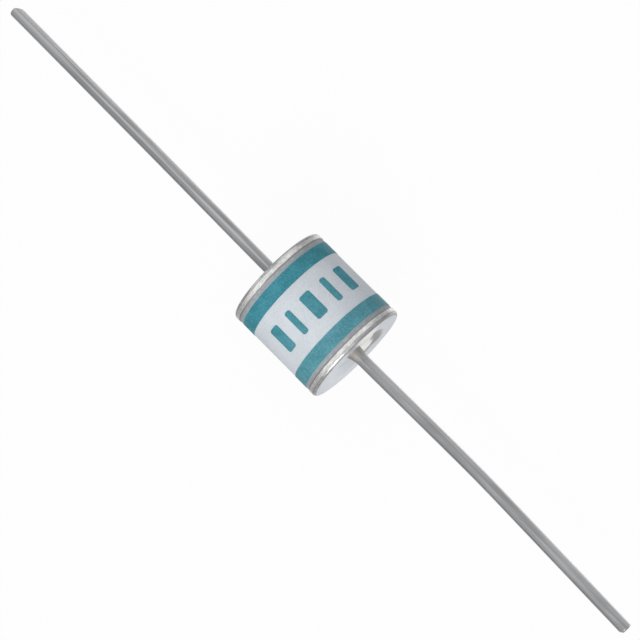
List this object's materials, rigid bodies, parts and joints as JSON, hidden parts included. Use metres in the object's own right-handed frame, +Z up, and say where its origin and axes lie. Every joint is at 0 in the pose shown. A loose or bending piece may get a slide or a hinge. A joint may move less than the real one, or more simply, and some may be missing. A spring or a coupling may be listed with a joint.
{
  "type": "gas discharge tube",
  "caption": "Surge arrester: a white ceramic tube with printed teal bands, closed by brazed metal electrodes that face each other across a spark gap, with an axial wire lead at each end.",
  "frame": {"origin": "middle of the ceramic body, on the tube's axis", "axes": "+X along the tube's axis towards the right lead, +Z up from the surface that the body lies on"},
  "size_m": [0.0604, 0.008, 0.008],
  "materials": {
    "ceramic": "matte white alumina",
    "electrode": "tin plated, satin",
    "braze": "dull grey braze",
    "emission_coating": "matte",
    "graphite": "matte",
    "ink": "matte teal print",
    "lead_wire": "tinned, drawn"
  },
  "bodies": {
    "root": {"ceramic_tube": "ceramic", "left_electrode": "electrode", "right_electrode": "electrode", "left_braze_ring": "braze", "right_braze_ring": "braze", "left_emission_coating": "emission_coating", "right_emission_coating": "emission_coating", "ignition_stripe_1": "graphite", "ignition_stripe_2": "graphite", "ignition_stripe_3": "graphite", "ignition_stripe_4": "graphite", "left_print_band": "ink", "right_print_band": "ink", "left_lead": "lead_wire", "right_lead": "lead_wire"}
  },
  "joints": []
}
